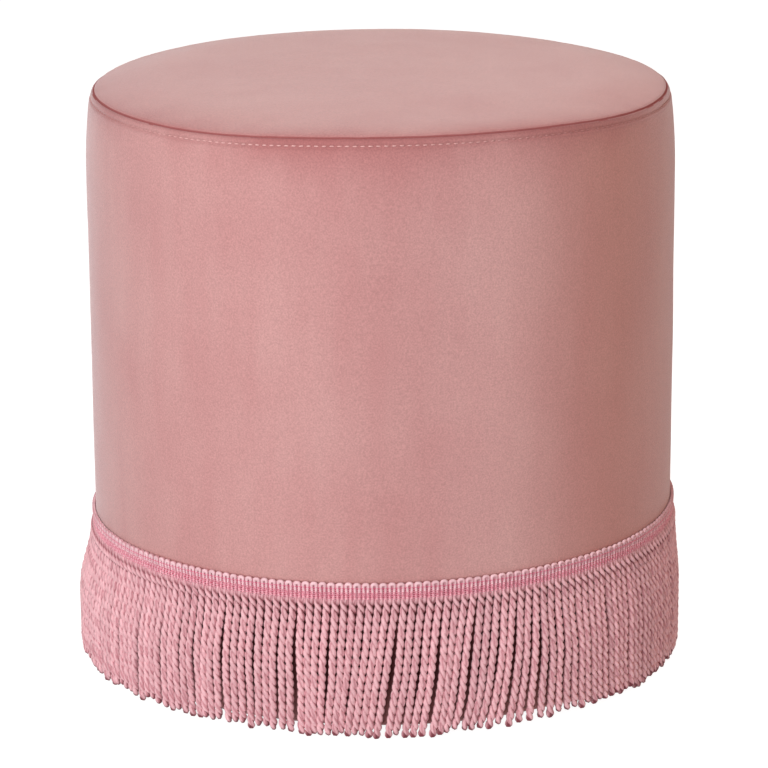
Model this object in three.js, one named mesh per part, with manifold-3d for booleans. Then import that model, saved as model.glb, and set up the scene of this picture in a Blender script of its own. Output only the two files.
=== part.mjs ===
// A round upholstered tuffet: a drum frame of two boards and six posts, a bent hardboard wall,
// foam, a velvet cover in two pieces, and a deep bullion fringe round the foot of the drum.
// Millimetres, +Z up. The origin is on the floor, under the centre of the drum, and -Y is the front.

import * as THREE from 'three';
import { mergeVertices } from 'three/addons/utils/BufferGeometryUtils.js';
import Module from 'manifold-3d';

const wasm = await Module();
wasm.setup();

// Overall form
const bodyDiameter = 400;
const seamHeight = 397; // from the floor to the crease where the top is sewn to the side
const crownRise = 8.5;
const crownPower = 5.5; // how late the crown turns down towards the crease
const shoulderDepth = 56;
const shoulderDraw = 4.1; // how far the soft shoulder draws in at the crease
const shoulderPower = 2.1;
const seamRoll = 1.4;
const seamRollDepth = 7;

// Sheet and board stock
const velvet = 1.2;
const padding = 5;
const hardboard = 3;
const plywood = 15;
const dustCloth = 0.8;
const clearance = 0.3; // between any two neighbouring pieces
const overrun = 2; // how far a cutting shape runs past the face that it cuts

// Cover details
const hemWidth = 30; // velvet turned under the base board
const hemCorner = 4;
const seamAllowance = 10; // the top's edge, turned down inside the side cover
const dustCoverInset = 12;

// Frame details
const postCount = 6;
const postWidth = 35;
const woodScrewHead = 9;
const woodScrewHeadDepth = 2.4;
const woodScrewShank = 4.5;
const woodScrewLength = 50;
const woodScrewPoint = 5;

// Glides under the base
const footCount = 4;
const footTopDiameter = 30;
const footDiameter = 27;
const footEdge = 1;
const footWeb = 2.8; // plastic between the screw's head and the base
const footInset = 42; // from the rim of the base board to the middle of a foot
const footScrewHead = 7.4;
const footScrewHeadDepth = 2;
const footScrewRecess = 1.4; // the head stays this far off the floor
const footScrewShank = 3.5;
const footScrewLength = 16;
const footScrewPoint = 3;

// Bullion fringe: cords looped over a narrow braid
const braidTop = 107.8;
const braidHeight = 10.3;
const braidThickness = 2;
const scallopDepth = 2.2;
const strandPitch = 5.6;
const strandGap = 0.9;
const strandThickness = 4.7;
const strandStandoff = 4.3; // the cords swing this far clear of the drum below the braid
const bellyShare = 0.52; // of a cord's hang, up from its end, where it reaches that standoff
const strandEnd = 2.6; // the longest cords end this far above the floor
const endScatter = 5; // the shortest end this much higher
const strandTip = 3.5;
const strandLean = 3; // the most that a cord's end drifts sideways
const leanWaves = 5;
const scatterSteps = [1.9, 0.83]; // radians from cord to cord, in the two rhythms of their ends
const strandFaceShare = 0.7; // a cord's front face is narrower than its back

// Roundness of turned pieces
const drumSides = 48;
const footSides = 20;
const screwSides = 12;
const hiddenScrewSides = 8;

// Shares of the shoulder's depth, and of the crown's radius, where the outlines have points
const shoulderShares = [0, 0.06, 0.16, 0.34, 0.62, 1];
const crownShares = [0, 0.62, 0.8, 0.9, 0.96];
const quarterTurns = [0, 0.5, 1];

// Radii and heights that follow from the driving sizes
const bodyRadius = bodyDiameter / 2;
const paddingRadius = bodyRadius - velvet - clearance;
const wallRadius = paddingRadius - padding - clearance;
const boardRadius = wallRadius - hardboard - clearance;
const footScrewSeat = footScrewRecess + footScrewHeadDepth;
const footHeight = footScrewSeat + clearance + footWeb;
const dustBottom = footHeight + clearance;
const coverBottom = dustBottom + dustCloth + clearance;
const baseBottom = coverBottom + velvet + clearance;
const baseTop = baseBottom + plywood;
const frameTop = seamHeight - shoulderDepth;
const topBoardBottom = frameTop - plywood;
const postLength = topBoardBottom - baseTop - 2 * clearance;
const postCircle = Math.sqrt((boardRadius - clearance) ** 2 - (postWidth / 2) ** 2) - postWidth / 2;
const footCircle = boardRadius - footInset;
const braidBottom = braidTop - braidHeight;
const bellyHeight = strandEnd + bellyShare * (braidBottom - strandEnd);

const finishes = {
  velvet: new THREE.MeshStandardMaterial({ color: '#cd9a96', roughness: 0.85, metalness: 0 }),
  fringe: new THREE.MeshStandardMaterial({ color: '#d59ca2', roughness: 0.6, metalness: 0 }),
  foam: new THREE.MeshStandardMaterial({ color: '#ece6d0', roughness: 0.95, metalness: 0 }),
  hardboard: new THREE.MeshStandardMaterial({ color: '#8a6a4a', roughness: 0.8, metalness: 0 }),
  plywood: new THREE.MeshStandardMaterial({ color: '#cfae7e', roughness: 0.7, metalness: 0 }),
  pine: new THREE.MeshStandardMaterial({ color: '#d9bf8c', roughness: 0.75, metalness: 0 }),
  dustCloth: new THREE.MeshStandardMaterial({ color: '#1c1c1e', roughness: 0.95, metalness: 0 }),
  plastic: new THREE.MeshStandardMaterial({ color: '#141414', roughness: 0.45, metalness: 0 }),
  steel: new THREE.MeshStandardMaterial({ color: '#b9b7ae', roughness: 0.35, metalness: 1 }),
};

// Six times the volume inside a geometry, negative where its faces point inwards
function signedVolume(geometry) {
  const place = geometry.attributes.position;
  const corners = geometry.index.array;
  const a = new THREE.Vector3();
  const b = new THREE.Vector3();
  const c = new THREE.Vector3();
  let total = 0;
  for (let i = 0; i < corners.length; i += 3) {
    a.fromBufferAttribute(place, corners[i]);
    b.fromBufferAttribute(place, corners[i + 1]);
    c.fromBufferAttribute(place, corners[i + 2]);
    total += a.dot(b.cross(c));
  }
  return total;
}

// Welds a geometry's corners, drops the empty triangles and makes its faces point outwards
function welded(geometry) {
  geometry.deleteAttribute('normal');
  geometry.deleteAttribute('uv');
  const merged = mergeVertices(geometry);
  const corners = merged.index.array;
  const kept = [];
  for (let i = 0; i < corners.length; i += 3) {
    const [a, b, c] = corners.slice(i, i + 3);
    if (a !== b && b !== c && c !== a) kept.push(a, b, c);
  }
  merged.setIndex(kept);
  if (signedVolume(merged) < 0) merged.setIndex(kept.reverse());
  return merged;
}

function turned(profile, sides) {
  const points = profile.map(([radius, height]) => new THREE.Vector2(radius, height));
  return welded(new THREE.LatheGeometry(points, sides).rotateX(Math.PI / 2));
}

function toSolid(geometry) {
  const ready = welded(geometry.clone());
  const vertProperties = new Float32Array(ready.attributes.position.array);
  const triVerts = new Uint32Array(ready.index.array);
  return new wasm.Manifold(new wasm.Mesh({ numProp: 3, vertProperties, triVerts }));
}

function cutBy(geometry, cutters) {
  let solid = toSolid(geometry);
  for (const cutter of cutters) solid = solid.subtract(toSolid(cutter));
  const mesh = solid.getMesh();
  const result = new THREE.BufferGeometry();
  result.setAttribute('position', new THREE.BufferAttribute(mesh.vertProperties, 3));
  result.setIndex(new THREE.BufferAttribute(mesh.triVerts, 1));
  return result;
}

function piece(name, geometry, finish) {
  if (!geometry.attributes.normal) geometry.computeVertexNormals();
  const mesh = new THREE.Mesh(geometry, finish);
  mesh.name = name;
  return mesh;
}

function onCircle(radius, angle, height) {
  return new THREE.Vector3(radius * Math.cos(angle), radius * Math.sin(angle), height);
}

function disc(radius, thickness) {
  const outline = new THREE.Shape().absarc(0, 0, radius, 0, 2 * Math.PI);
  return new THREE.ExtrudeGeometry(outline, {
    depth: thickness,
    bevelEnabled: false,
    curveSegments: drumSides / 2,
  });
}

// The velvet's outer radius on the side: straight, then drawn in by the soft shoulder and the seam
function coverRadius(height) {
  const drop = seamHeight - height;
  const shoulder = shoulderDraw * Math.max(0, 1 - drop / shoulderDepth) ** shoulderPower;
  const roll = seamRoll * Math.max(0, 1 - drop / seamRollDepth) ** 2;
  return bodyRadius - shoulder - roll;
}

const seamRadius = coverRadius(seamHeight);

// The velvet's outer height on the top
function crownHeight(radius) {
  return seamHeight + crownRise * (1 - (radius / seamRadius) ** crownPower);
}

// Points down the shoulder between two heights, set in from the velvet's face
function shoulderLine(inset, highest, lowest) {
  const heights = shoulderShares.map((share) => seamHeight - share * shoulderDepth);
  const inside = heights.filter((height) => height < highest && height > lowest);
  return [highest, ...inside, lowest].map((height) => [coverRadius(height) - inset, height]);
}

// Points out along the crown from the middle to an outer radius, set below the velvet's face
function crownLine(inset, outerRadius) {
  const line = crownShares.map((share) => [share * outerRadius, crownHeight(share * outerRadius) - inset]);
  return [...line, [outerRadius, crownHeight(outerRadius) - inset]];
}

// The rounded bottom corner, set in from the velvet's face, from the side round to the underside
function cornerLine(inset, turns) {
  const radius = hemCorner - inset;
  const middle = [bodyRadius - hemCorner, coverBottom + hemCorner];
  return turns.map((turn) => {
    const angle = turn * Math.PI / 2;
    return [middle[0] + radius * Math.cos(angle), middle[1] - radius * Math.sin(angle)];
  });
}

function sideCover() {
  const hemRadius = bodyRadius - hemWidth;
  const ends = [quarterTurns[0], quarterTurns[2]];
  const profile = [
    ...shoulderLine(0, seamHeight, frameTop),
    ...cornerLine(0, quarterTurns),
    [hemRadius, coverBottom],
    [hemRadius, coverBottom + velvet],
    ...cornerLine(velvet, ends).reverse(),
    ...shoulderLine(velvet, seamHeight, frameTop).reverse(),
  ];
  return turned([...profile, profile[0]], drumSides);
}

// A crowned disc whose edge is turned down inside the side cover as a seam allowance
function topCover() {
  const lipInset = velvet + clearance;
  const lipEnd = seamHeight - seamAllowance;
  const outerEdge = seamRadius - lipInset;
  const profile = [
    ...crownLine(0, outerEdge),
    ...shoulderLine(lipInset, seamHeight, lipEnd).slice(1),
    ...shoulderLine(lipInset + velvet, seamHeight - velvet, lipEnd).reverse(),
    ...crownLine(velvet, outerEdge - 2 * velvet).reverse(),
  ];
  return turned(profile, drumSides);
}

// The seat cushion: crowned on top, drawn in at the shoulder and stepped in behind the seam
function seatFoam() {
  const lipInset = 2 * (velvet + clearance);
  const sideInset = velvet + clearance;
  const lipEnd = seamHeight - seamAllowance - clearance;
  const bottom = frameTop + clearance;
  const edge = coverRadius(seamHeight) - lipInset - velvet;
  const profile = [
    ...crownLine(velvet + clearance, edge),
    ...shoulderLine(lipInset, seamHeight - 2 * velvet - clearance, lipEnd),
    ...shoulderLine(sideInset, lipEnd, bottom),
    [0, bottom],
  ];
  return turned(profile, drumSides);
}

function wallPadding() {
  const ends = [quarterTurns[0], quarterTurns[2]];
  const inner = wallRadius + clearance;
  const profile = [
    [paddingRadius, frameTop],
    ...cornerLine(velvet + clearance, ends),
    [inner, baseBottom],
    [inner, frameTop],
  ];
  return turned([...profile, profile[0]], drumSides);
}

function drumWall() {
  const inner = wallRadius - hardboard;
  const profile = [
    [wallRadius, frameTop],
    [wallRadius, baseBottom],
    [inner, baseBottom],
    [inner, frameTop],
  ];
  return turned([...profile, profile[0]], drumSides);
}

// A countersunk wood screw's outline, head up with its face at zero. A cutter for its hole is the
// same outline grown by the clearance and run out above the face.
function woodScrewOutline(grown) {
  const head = woodScrewHead / 2 + grown;
  const shank = woodScrewShank / 2 + grown;
  const lower = [
    [shank, -woodScrewHeadDepth],
    [shank, woodScrewPoint - woodScrewLength],
    [0, -woodScrewLength - grown],
  ];
  const upper = grown > 0 ? [[0, overrun], [head, overrun], [head, 0]] : [[0, 0], [head, 0]];
  return [...upper, ...lower];
}

const woodScrew = turned(woodScrewOutline(0), hiddenScrewSides);
const woodScrewHole = turned(woodScrewOutline(clearance), hiddenScrewSides);

// A pan-head screw, head down, from its head's face up to its point
function footScrew() {
  const head = footScrewHead / 2;
  const shank = footScrewShank / 2;
  const top = footScrewSeat + footScrewLength;
  const profile = [
    [0, footScrewRecess],
    [head - footScrewHeadDepth / 2, footScrewRecess],
    [head, footScrewRecess + footScrewHeadDepth / 2],
    [head, footScrewSeat],
    [shank, footScrewSeat],
    [shank, top - footScrewPoint],
    [0, top],
  ];
  return turned(profile, screwSides);
}

// One cutter for the dust cover and the base board
function footScrewHole() {
  const shank = footScrewShank / 2 + clearance;
  const top = footScrewSeat + footScrewLength;
  const profile = [
    [0, dustBottom - overrun],
    [shank, dustBottom - overrun],
    [shank, top - footScrewPoint],
    [0, top + clearance],
  ];
  return turned(profile, screwSides);
}

// A round glide with a stepped hole that hides the screw's head
function foot() {
  const bore = footScrewShank / 2 + clearance;
  const recess = footScrewHead / 2 + clearance;
  const step = footScrewSeat + clearance;
  const profile = [
    [bore, footHeight],
    [footTopDiameter / 2, footHeight],
    [footDiameter / 2, footEdge],
    [footDiameter / 2 - footEdge, 0],
    [recess, 0],
    [recess, step],
    [bore, step],
  ];
  return turned([...profile, profile[0]], footSides);
}

const postAngles = Array.from({ length: postCount }, (_, i) => i * 2 * Math.PI / postCount);
const footAngles = Array.from({ length: footCount }, (_, i) => (i + 0.5) * 2 * Math.PI / footCount);

// A cutter at each post, upright or turned over, with its face at a height
function holesAtPosts(height, turnedOver) {
  return postAngles.map((angle) => {
    const hole = woodScrewHole.clone();
    if (turnedOver) hole.rotateX(Math.PI);
    hole.rotateZ(angle);
    const place = onCircle(postCircle, angle, height);
    return hole.translate(place.x, place.y, place.z);
  });
}

function holesAtFeet() {
  return footAngles.map((angle) => {
    const place = onCircle(footCircle, angle, 0);
    return footScrewHole().rotateZ(angle).translate(place.x, place.y, place.z);
  });
}

function baseBoard() {
  const board = disc(boardRadius, plywood).translate(0, 0, baseBottom);
  return cutBy(board, [...holesAtPosts(baseBottom, true), ...holesAtFeet()]);
}

function topBoard() {
  const board = disc(boardRadius, plywood).translate(0, 0, topBoardBottom);
  return cutBy(board, holesAtPosts(frameTop, false));
}

// A square batten standing on zero, drilled at both ends for its screws
function post() {
  const half = postWidth / 2;
  const square = new THREE.Shape([
    new THREE.Vector2(-half, -half),
    new THREE.Vector2(half, -half),
    new THREE.Vector2(half, half),
    new THREE.Vector2(-half, half),
  ]);
  const batten = new THREE.ExtrudeGeometry(square, { depth: postLength, bevelEnabled: false });
  const reach = plywood + clearance;
  const upper = woodScrewHole.clone().translate(0, 0, postLength + reach);
  const lower = woodScrewHole.clone().rotateX(Math.PI).translate(0, 0, -reach);
  return cutBy(batten, [upper, lower]);
}

// Thin black cloth over the underside, with a hole at each foot's screw
function dustCover() {
  const sheet = disc(bodyRadius - dustCoverInset, dustCloth).translate(0, 0, dustBottom);
  return cutBy(sheet, holesAtFeet());
}

// Strands all round, a whole number in each quarter
const quarterStrands = Math.round(2 * Math.PI * bodyRadius / strandPitch / 4);
const strandAngle = Math.PI / 2 / quarterStrands;

// A quarter of the fringe as one closed body: a scalloped braid with its cords hanging from it.
// Each cord is a tapered four-sided column whose rings share their corners with the braid.
function fringeQuarter(firstStrand) {
  const corners = [];
  const faces = [];
  const braidBack = bodyRadius + clearance;
  const braidFront = braidBack + braidThickness;
  const bellyBack = bodyRadius + strandStandoff;
  const bellyFront = bellyBack + strandThickness;
  const backHalf = (strandAngle * bodyRadius - strandGap) / 2;
  const frontHalf = backHalf * strandFaceShare;
  const valley = braidTop - scallopDepth;

  function corner(angle, radius, across, height) {
    const x = radius * Math.cos(angle) - across * Math.sin(angle);
    const y = radius * Math.sin(angle) + across * Math.cos(angle);
    corners.push(x, y, height);
    return corners.length / 3 - 1;
  }
  function face(...points) {
    for (let i = 1; i + 1 < points.length; i += 1) faces.push(points[0], points[i], points[i + 1]);
  }
  // Four corners in the order left front, right front, right back, left back
  function ring(angle, front, back, drift, height) {
    return [
      corner(angle, front, drift - frontHalf, height),
      corner(angle, front, drift + frontHalf, height),
      corner(angle, back, drift + backHalf, height),
      corner(angle, back, drift - backHalf, height),
    ];
  }
  function wall(lower, upper) {
    for (let i = 0; i < 4; i += 1) {
      const next = (i + 1) % 4;
      face(lower[i], lower[next], upper[next], upper[i]);
    }
  }

  let before = null;
  for (let i = 0; i < quarterStrands; i += 1) {
    const number = firstStrand + i;
    const angle = (number + 0.5) * strandAngle;
    const turn = number / (4 * quarterStrands) * 2 * Math.PI;
    const lean = strandLean * Math.sin(leanWaves * turn);
    const rhythms = scatterSteps.map((step) => (1 + Math.sin(step * number)) / 2);
    const scatter = (rhythms[0] + rhythms[1]) / 2;
    const end = strandEnd + endScatter * scatter;
    const bellyLean = lean * (braidBottom - bellyHeight) / (braidBottom - end);

    const top = ring(angle, braidFront, braidBack, 0, braidTop);
    const bottom = ring(angle, braidFront, braidBack, 0, braidBottom);
    const belly = ring(angle, bellyFront, bellyBack, bellyLean, bellyHeight);
    const shoulder = ring(angle, bellyFront, bellyBack, lean, end + strandTip);
    const point = corner(angle, (bellyFront + bellyBack) / 2, lean, end);
    face(...top);
    face(bottom[0], bottom[1], top[1], top[0]);
    face(bottom[2], bottom[3], top[3], top[2]);
    wall(belly, bottom);
    wall(shoulder, belly);
    for (let k = 0; k < 4; k += 1) face(point, shoulder[(k + 1) % 4], shoulder[k]);

    // The braid between this cord and the one before it, or its cut end
    const gapAngle = number * strandAngle;
    if (before) {
      const dip = [corner(gapAngle, braidFront, 0, valley), corner(gapAngle, braidBack, 0, valley)];
      face(dip[0], before.top[1], before.bottom[1], bottom[0], top[0]);
      face(dip[1], top[3], bottom[3], before.bottom[2], before.top[2]);
      face(before.top[1], dip[0], dip[1], before.top[2]);
      face(dip[0], top[0], top[3], dip[1]);
      face(before.bottom[2], bottom[3], bottom[0], before.bottom[1]);
    } else {
      cutEnd(gapAngle, clearance / 2, top, bottom, false);
    }
    before = { top, bottom };
  }
  cutEnd((firstStrand + quarterStrands) * strandAngle, -clearance / 2, before.top, before.bottom, true);

  function cutEnd(angle, across, top, bottom, last) {
    const low = [corner(angle, braidFront, across, braidBottom), corner(angle, braidBack, across, braidBottom)];
    const high = [corner(angle, braidFront, across, valley), corner(angle, braidBack, across, valley)];
    const [front, back] = last ? [1, 2] : [0, 3];
    const sides = [
      [low[0], bottom[front], top[front], high[0]],
      [bottom[back], low[1], high[1], top[back]],
      [high[0], top[front], top[back], high[1]],
      [low[1], bottom[back], bottom[front], low[0]],
      [low[1], low[0], high[0], high[1]],
    ];
    for (const side of sides) face(...(last ? side.reverse() : side));
  }

  const geometry = new THREE.BufferGeometry();
  geometry.setAttribute('position', new THREE.Float32BufferAttribute(corners, 3));
  geometry.setIndex(faces);
  return geometry;
}

const tuffet = new THREE.Group();

const frame = new THREE.Group();
frame.add(piece('base_board', baseBoard(), finishes.plywood));
frame.add(piece('top_board', topBoard(), finishes.plywood));
frame.add(piece('drum_wall', drumWall(), finishes.hardboard));
const postGeometry = post();
postAngles.forEach((angle, i) => {
  const batten = piece(`post_${i + 1}`, postGeometry, finishes.pine);
  batten.position.copy(onCircle(postCircle, angle, baseTop + clearance));
  batten.rotation.z = angle;
  const upper = piece(`top_screw_${i + 1}`, woodScrew, finishes.steel);
  upper.position.copy(onCircle(postCircle, angle, frameTop));
  upper.rotation.z = angle;
  const lower = piece(`base_screw_${i + 1}`, woodScrew, finishes.steel);
  lower.position.copy(onCircle(postCircle, angle, baseBottom));
  lower.rotation.set(Math.PI, 0, -angle);
  frame.add(batten, upper, lower);
});

const upholstery = new THREE.Group();
upholstery.add(piece('wall_padding', wallPadding(), finishes.foam));
upholstery.add(piece('seat_foam', seatFoam(), finishes.foam));
upholstery.add(piece('side_cover', sideCover(), finishes.velvet));
upholstery.add(piece('top_cover', topCover(), finishes.velvet));

const underside = new THREE.Group();
const footGeometry = foot();
const footScrewGeometry = footScrew();
underside.add(piece('dust_cover', dustCover(), finishes.dustCloth));
footAngles.forEach((angle, i) => {
  const glide = piece(`foot_${i + 1}`, footGeometry, finishes.plastic);
  const screw = piece(`foot_screw_${i + 1}`, footScrewGeometry, finishes.steel);
  for (const part of [glide, screw]) {
    part.position.copy(onCircle(footCircle, angle, 0));
    part.rotation.z = angle;
  }
  underside.add(glide, screw);
});

// The quarters run anticlockwise from the front, which faces -Y
const fringe = new THREE.Group();
['front', 'right', 'back', 'left'].forEach((side, i) => {
  const first = Math.round((i - 1.5) * quarterStrands);
  fringe.add(piece(`fringe_${side}`, fringeQuarter(first), finishes.fringe));
});

tuffet.add(frame, upholstery, underside, fringe);

export default tuffet;
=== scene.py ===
# A round velvet tuffet with a deep bullion fringe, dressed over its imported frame.
# Lengths are in metres, angles in radians; -Y is the front.
import math

import bpy
import numpy as np
from mathutils import Matrix, Vector, noise


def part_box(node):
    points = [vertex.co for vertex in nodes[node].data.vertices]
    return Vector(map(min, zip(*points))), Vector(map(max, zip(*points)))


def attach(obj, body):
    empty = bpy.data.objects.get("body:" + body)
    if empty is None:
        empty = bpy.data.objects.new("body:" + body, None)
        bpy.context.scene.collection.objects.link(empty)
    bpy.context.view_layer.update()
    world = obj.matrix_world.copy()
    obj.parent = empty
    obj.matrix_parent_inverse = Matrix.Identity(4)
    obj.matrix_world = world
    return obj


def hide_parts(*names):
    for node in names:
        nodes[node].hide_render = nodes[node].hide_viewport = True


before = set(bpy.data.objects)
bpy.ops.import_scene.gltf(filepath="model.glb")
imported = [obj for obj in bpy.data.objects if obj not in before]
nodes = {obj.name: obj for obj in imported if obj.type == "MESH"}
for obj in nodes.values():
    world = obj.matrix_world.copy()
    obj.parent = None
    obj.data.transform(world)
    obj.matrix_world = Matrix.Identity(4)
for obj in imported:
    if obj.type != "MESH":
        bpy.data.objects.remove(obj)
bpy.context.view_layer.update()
scene = bpy.context.scene
fullTurn = 2 * math.pi

# Heights and radii that the frame already settles
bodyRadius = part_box("side_cover")[1].x
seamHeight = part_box("side_cover")[1].z
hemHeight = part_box("side_cover")[0].z
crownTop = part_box("top_cover")[1].z
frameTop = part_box("drum_wall")[1].z
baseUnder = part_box("base_board")[0].z
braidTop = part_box("fringe_front")[1].z
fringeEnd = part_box("fringe_front")[0].z
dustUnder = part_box("dust_cover")[0].z

stitchDrop = 0.0044  # the topstitching's height below the crease
braidBottom = 0.0952  # the height at which the cords' legs run up into the braid
cordTuck = 0.0013  # how far the cords reach up into the braid
braidSlant = 0.003  # the braid is sewn on a little aslant: higher to the right
braidDip = 0.0012  # and lower at both sides than at the front and back

cameraPlan = {
    "lens": 168.4,
    "sensor": 36.0,
    "place": (0.0013, -2.3944, 0.8645),
    "tiltDown": 0.277,
    "roll": -0.0065,
}

lightPlan = {
    "key": {"place": (-1.12, -2.56, 1.3), "size": 2.0, "watts": 58.5, "tint": (0.97, 1.01, 1.05)},
    "leftFill": {"place": (-2.5, -0.1, 0.9), "size": 1.2, "watts": 6.5, "tint": (0.97, 1.0, 1.05)},
    "overhead": {"place": (-0.1, -0.4, 2.4), "size": 1.6, "watts": 23.0, "tint": (1.0, 1.0, 1.0)},
    "warmEdge": {"place": (2.3, 0.9, 0.8), "size": 1.2, "watts": 12.5, "tint": (1.0, 0.45, 0.22)},
    "ambient": 0.19,
    "ambientTint": (1.0, 0.78, 0.6),
    "backdrop": 1.05,
    "floorGlow": 0.95,
    "floorBounce": 0.45,
}


def link(name, data):
    made = bpy.data.objects.new(name, data)
    scene.collection.objects.link(made)
    return made


def makeCamera():
    lens = bpy.data.cameras.new("photoCamera")
    lens.lens = cameraPlan["lens"]
    lens.sensor_width = cameraPlan["sensor"]
    lens.clip_end = 50
    made = link("photoCamera", lens)
    aim = Matrix.Rotation(math.pi / 2 - cameraPlan["tiltDown"], 4, "X")
    turn = Matrix.Rotation(cameraPlan["roll"], 4, "Z")
    made.matrix_world = Matrix.Translation(cameraPlan["place"]) @ aim @ turn
    scene.camera = made


def makeSoftLight(name):
    plan = lightPlan[name]
    lamp = bpy.data.lights.new(name, "AREA")
    lamp.shape = "DISK"
    lamp.size = plan["size"]
    lamp.energy = plan["watts"]
    lamp.color = plan["tint"]
    made = link(name, lamp)
    place = Vector(plan["place"])
    toDrum = Vector((0, 0, seamHeight / 2)) - place
    made.matrix_world = Matrix.Translation(place) @ toDrum.to_track_quat("-Z", "Y").to_matrix().to_4x4()


# Puts a value, or a link from another node, into a socket
def connect(socket, value):
    if isinstance(value, bpy.types.NodeSocket):
        socket.id_data.links.new(value, socket)
    else:
        socket.default_value = value


def addNode(tree, kind, inputs=None, **settings):
    node = tree.nodes.new(kind)
    for name, value in settings.items():
        setattr(node, name, value)
    for key, value in (inputs or {}).items():
        connect(node.inputs[key], value)
    return node


# The first output of a new node, in the tree that its linked inputs belong to
def through(kind, inputs, **settings):
    tree = next(value.id_data for value in inputs.values() if isinstance(value, bpy.types.NodeSocket))
    return addNode(tree, kind, inputs, **settings).outputs[0]


def calc(operation, *values):
    return through("ShaderNodeMath", dict(enumerate(values)), operation=operation)


def plus(first, second):
    return calc("ADD", first, second)


def minus(first, second):
    return calc("SUBTRACT", first, second)


def times(first, second):
    return calc("MULTIPLY", first, second)


def ratio(first, second):
    return calc("DIVIDE", first, second)


def timesPlus(first, second, third):
    return calc("MULTIPLY_ADD", first, second, third)


# 1 at nothing, and less the further a value is from it on either side
def hump(value):
    return calc("EXPONENT", times(times(value, value), -1.0))


# Carries a value from one range to another, held at its ends
def remap(value, fromLow, fromHigh, toLow, toHigh, curve="LINEAR"):
    ends = {0: value, 1: fromLow, 2: fromHigh, 3: toLow, 4: toHigh}
    return through("ShaderNodeMapRange", ends, interpolation_type=curve, clamp=True)


# The same, easing in and out
def ease(value, fromLow, fromHigh, toLow, toHigh):
    return remap(value, fromLow, fromHigh, toLow, toHigh, "SMOOTHSTEP")


def noiseAt(place, scale, detail=2.0):
    return through("ShaderNodeTexNoise", {"Vector": place, "Scale": scale, "Detail": detail})


def split(place):
    return addNode(place.id_data, "ShaderNodeSeparateXYZ", {"Vector": place}).outputs


def attribute(tree, name, output="Fac"):
    return addNode(tree, "ShaderNodeAttribute", attribute_name=name).outputs[output]


def objectPlace(tree):
    return addNode(tree, "ShaderNodeTexCoord").outputs["Object"]


def grey(value):
    return through("ShaderNodeCombineColor", {0: value, 1: value, 2: value})


def blend(amount, first, second):
    ends = {0: amount, 6: first, 7: second}
    return addNode(amount.id_data, "ShaderNodeMix", ends, data_type="RGBA").outputs[2]


def brighten(colour, factor):
    return through("ShaderNodeVectorMath", {0: colour, 3: factor}, operation="SCALE")


# The angle round the drum's axis
def angleOf(spot):
    return calc("ARCTAN2", spot[1], spot[0])


def setLook(made, values):
    for name, value in values.items():
        connect(made.node_tree.nodes["Principled BSDF"].inputs[name], value)
    return made


# Gives a material its colour and its relief
def dress(made, colour, height, distance, strength=1.0):
    bump = through("ShaderNodeBump", {"Height": height, "Distance": distance, "Strength": strength})
    return setLook(made, {"Base Color": colour, "Normal": bump})


def makeWorld():
    world = bpy.data.worlds.new("studioAir")
    world.use_nodes = True
    scene.world = world
    tree = world.node_tree
    tree.nodes.clear()
    white = (1.0, 1.0, 1.0, 1.0)
    air = (*lightPlan["ambientTint"], 1.0)
    around = addNode(tree, "ShaderNodeBackground", {"Color": air, "Strength": lightPlan["ambient"]})
    behind = addNode(tree, "ShaderNodeBackground", {"Color": white, "Strength": lightPlan["backdrop"]})
    path = tree.nodes.new("ShaderNodeLightPath")
    sorts = {0: path.outputs["Is Camera Ray"], 1: around.outputs[0], 2: behind.outputs[0]}
    mix = addNode(tree, "ShaderNodeMixShader", sorts)
    addNode(tree, "ShaderNodeOutputWorld", {"Surface": mix.outputs[0]})


def newMaterial(name, constants):
    made = bpy.data.materials.new(name)
    made.use_nodes = True
    return setLook(made, constants), made.node_tree


def makeFloor():
    half = 6.0
    mesh = bpy.data.meshes.new("studioFloor")
    corners = [(-half, -half, 0), (half, -half, 0), (half, half, 0), (-half, half, 0)]
    mesh.from_pydata(corners, [], [(0, 1, 2, 3)])
    constants = {"Roughness": 0.9, "Emission Strength": lightPlan["floorGlow"]}
    paper, tree = newMaterial("palePaper", constants)
    seen = tree.nodes.new("ShaderNodeLightPath").outputs["Is Camera Ray"]
    glow = remap(seen, 0.0, 1.0, lightPlan["floorBounce"], 1.0)
    speckle = remap(noiseAt(objectPlace(tree), 40.0), 0.3, 0.7, 0.32, 0.34)
    setLook(paper, {"Emission Color": grey(glow), "Base Color": grey(speckle)})
    mesh.materials.append(paper)
    link("studioFloor", mesh)


makeCamera()
for light in ("key", "leftFill", "overhead", "warmEdge"):
    makeSoftLight(light)
makeWorld()
makeFloor()
scene.view_settings.view_transform = "Standard"
print("camera, lights and floor are in place")


# Named inputs for a node tree, each of the kind that its starting value asks for
def giveInputs(tree, starts):
    kinds = {"int": "Int", "float": "Float", "tuple": "Color", "NoneType": "Vector"}
    for label, start in starts.items():
        sort = type(start).__name__
        kind = "NodeSocket" + kinds.get(sort, sort)
        socket = tree.interface.new_socket(label, in_out="INPUT", socket_type=kind)
        if start is not None:
            socket.default_value = start
    return tree.nodes.new("NodeGroupInput").outputs


# A node group for materials, with its named inputs and outputs
def newGroup(name, inputs, outputs):
    group = bpy.data.node_groups.new(name, "ShaderNodeTree")
    given = giveInputs(group, inputs)
    for label in outputs:
        kind = "NodeSocketColor" if label == "Color" else "NodeSocketFloat"
        group.interface.new_socket(label, in_out="OUTPUT", socket_type=kind)
    return group, given, group.nodes.new("NodeGroupOutput").inputs


def useGroup(tree, group, inputs):
    return addNode(tree, "ShaderNodeGroup", inputs, node_tree=group).outputs


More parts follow.
